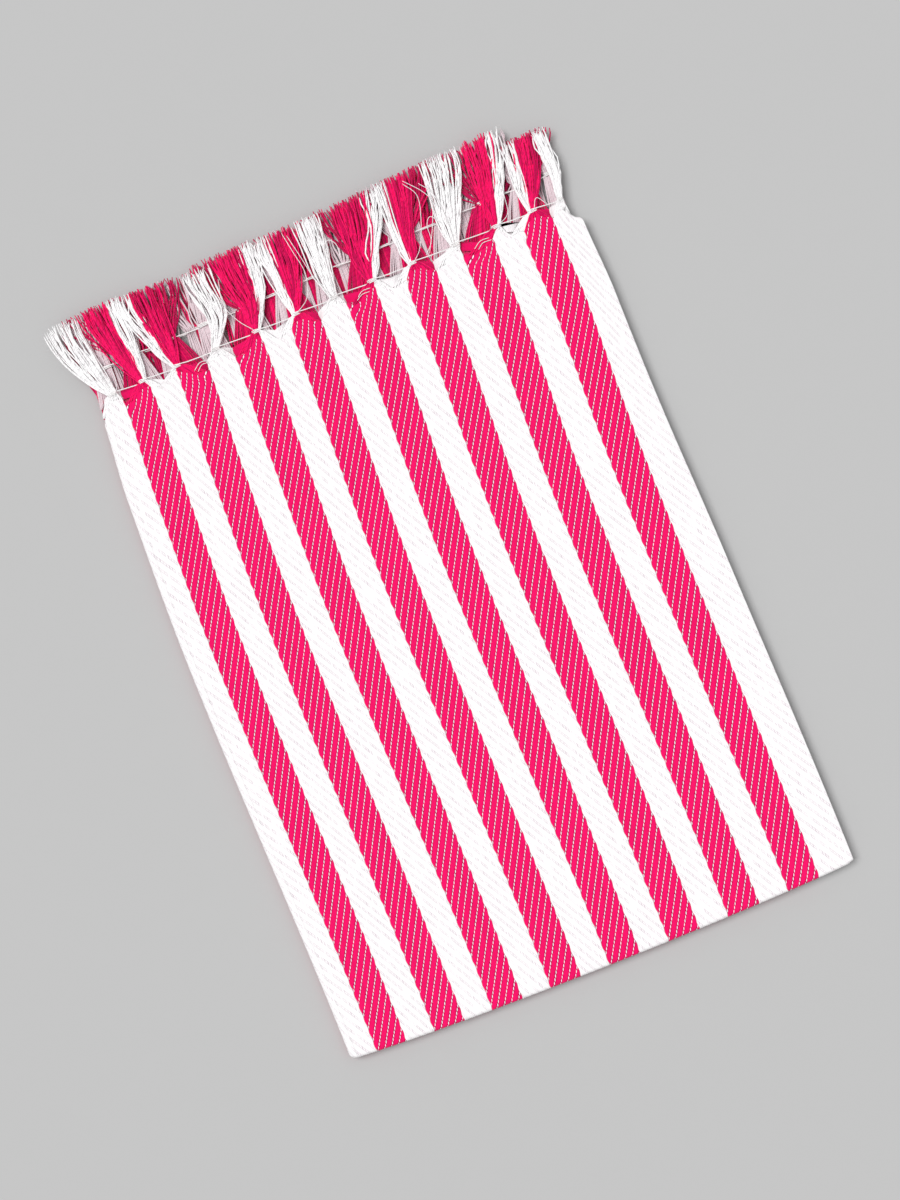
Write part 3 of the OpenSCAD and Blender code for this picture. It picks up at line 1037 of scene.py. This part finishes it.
class BATHMAT_OT_front_tassels(Operator):
    """The thirteen tassels on the upper edge"""
    bl_idname = "bathmat.front_tassels"
    bl_label = "Front tassels"

    def execute(self, context):
        fringe = context.scene.mat_fringe
        rng = random.Random(fringe.seed)
        top = FOLD_R - 0.5 * MM
        for i, group in enumerate(front_groups()):
            level = (top - 0.4 * MM, top + 0.1 * MM, top - 0.8 * MM)
            lines = tassel_lines(group, KNOTS_UPPER[i], EDGE_A, KNOTS_A, TIPS_A, level,
                                 FRONT_FANS[i], UPPER_W, True, rng, 17, fringe.waist)
            strays = stray_lines(i, rng)
            node = f"tassel_ra_{i + 1:02d}"
            tassel_piece(node + "_yarns", lines, 5, "upper_half", node,
                         fringe.yarn / 2, rng, strays)
        return {"FINISHED"}


class BATHMAT_OT_hidden_tassels(Operator):
    """The tassels of the three edges under the front one"""
    bl_idname = "bathmat.hidden_tassels"
    bl_label = "Hidden tassels"

    def execute(self, context):
        fringe = context.scene.mat_fringe
        rng = random.Random(fringe.seed + 1)
        rows = (
            ("tassels_rb", True, END_B, INNER_H + 1.2 * MM, "cotton_pink"),
            ("tassels_lb", False, END_B, INNER_H + 1.2 * MM, "cotton_white"),
            ("tassels_la", False, END_A, FOLD_R - 1.3 * MM, "cotton_pink"),
        )
        for node, upper, (edge, knots_y, tips_y), height, slot in rows:
            waist = fringe.waist * WAISTS[node[-2:]]
            width = UPPER_W if upper else LOWER_W
            knots = KNOTS_UPPER if upper else KNOTS_LOWER
            groups = [[] for _ in range(TASSELS)]
            for name, s in edge_ends(upper):
                own = int(np.searchsorted(BORDERS[width], float(fold_flat(s))))
                groups[own].append((name, s))
            if upper:
                groups = [fuller(group) for group in groups]
            lines = []
            for i, group in enumerate(groups):
                lean, spread, _, longer = FRONT_FANS[i]
                if i == TASSELS - 1:
                    spread = 16.0
                elif upper and i % 3 == 0:
                    spread = rng.uniform(13, 17)
                else:
                    spread = rng.uniform(32, 40)
                if i == 0:
                    lean, spread = 0.4 * lean, 24.0
                fan = (lean * 0.7 + rng.uniform(-2, 2), spread, rng.uniform(-1, 1),
                       min(longer, 0.0) * 0.8 + rng.uniform(-0.5, 1.5))
                level = (height, height, height)
                back = EDGE_B_BACK if edge == EDGE_B else 0.0
                lines += tassel_lines(group, knots[i], edge, knots_y, tips_y, level, fan,
                                      width, upper, rng, 12, waist, back, True)
            body = "upper_half" if upper else "lower_half"
            tassel_piece(node + "_yarns", lines, 4, body, node,
                         fringe.yarn / 2 * (1.0 if upper else 1.3), rng)
        return {"FINISHED"}


def tie_line(knots, knots_y, height, side, waist, rng):
    """The thread's way: two turns round each waist, then on to the next."""
    rx, rz = waist / 2 + 0.35 * MM, 1.15 * MM
    points = []
    for x in knots:
        turns = np.linspace(-0.25, 2.0, 19) * 2 * math.pi
        for k, turn in enumerate(turns):
            y = knots_y + (k / 18 - 0.5) * 1.7 * MM
            points.append(settled(X_FOLD + x + rx * math.sin(turn), y,
                                  height + rz * math.cos(turn), side))
        points.append(settled(X_FOLD + x + 8 * MM, knots_y + rng.uniform(-0.3, 0.3) * MM,
                              height + 0.5 * MM, side))
    return points[:-1]


class BATHMAT_OT_tie_threads(Operator):
    """The thread that wraps each tassel's waist and runs on to the next"""
    bl_idname = "bathmat.tie_threads"
    bl_label = "Tie threads"

    def execute(self, context):
        fringe = context.scene.mat_fringe
        rng = random.Random(fringe.seed + 2)
        rows = (
            ("tie_thread_ra", True, KNOTS_A, FOLD_R - 0.4 * MM),
            ("tie_thread_rb", True, KNOTS_B, INNER_H + 1.2 * MM),
            ("tie_thread_la", False, KNOTS_A, FOLD_R - 1.5 * MM),
            ("tie_thread_lb", False, KNOTS_B, INNER_H + 1.2 * MM),
        )
        for node, upper, knots_y, height in rows:
            knots = KNOTS_UPPER if upper else KNOTS_LOWER
            points = tie_line(knots, knots_y, height, 1 if upper else -1,
                              fringe.waist * WAISTS[node[-2:]], rng)
            bm = bmesh.new()
            add_yarn(bm, rounded(points, len(points) * 2), fringe.thread / 2, 6, 0, 1.0)
            close_yarns(bm)
            piece = finish_piece(bm, node + "_yarn", [thread_cotton()])
            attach(piece, "upper_half" if upper else "lower_half")
            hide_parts(node)
        return {"FINISHED"}


class BATHMAT_PT_panel(Panel):
    """Lists the mat's pieces and settings"""
    bl_idname = "BATHMAT_PT_panel"
    bl_label = "Bath Mat"
    bl_space_type = "VIEW_3D"
    bl_region_type = "UI"
    bl_category = "Bath Mat"

    def draw(self, context):
        layout = self.layout
        for group in ("mat_weave", "mat_fringe", "mat_colours", "mat_stage"):
            box = layout.box()
            settings = getattr(context.scene, group)
            for name in settings.bl_rna.properties.keys():
                if name not in ("rna_type", "name"):
                    box.prop(settings, name)
        for operator in OPERATORS:
            layout.operator(operator.bl_idname)


OPERATORS = (
    BATHMAT_OT_stage,
    BATHMAT_OT_upper_stripes,
    BATHMAT_OT_lower_stripes,
    BATHMAT_OT_fold_wrap,
    BATHMAT_OT_front_tassels,
    BATHMAT_OT_hidden_tassels,
    BATHMAT_OT_tie_threads,
)
GROUPS = {
    "mat_weave": MatWeave,
    "mat_fringe": MatFringe,
    "mat_colours": MatColours,
    "mat_stage": MatStage,
}


def register():
    for name, group in GROUPS.items():
        bpy.utils.register_class(group)
        setattr(bpy.types.Scene, name, PointerProperty(type=group))
    for item in (*OPERATORS, BATHMAT_PT_panel):
        bpy.utils.register_class(item)


def unregister():
    for item in (BATHMAT_PT_panel, *reversed(OPERATORS)):
        bpy.utils.unregister_class(item)
    for name, group in GROUPS.items():
        delattr(bpy.types.Scene, name)
        bpy.utils.unregister_class(group)


def main():
    register()
    bpy.ops.bathmat.stage()
    bpy.ops.bathmat.upper_stripes()
    bpy.ops.bathmat.lower_stripes()
    bpy.ops.bathmat.fold_wrap()
    bpy.ops.bathmat.front_tassels()
    bpy.ops.bathmat.hidden_tassels()
    bpy.ops.bathmat.tie_threads()
    bpy.context.view_layer.update()


if __name__ == "__main__":
    main()
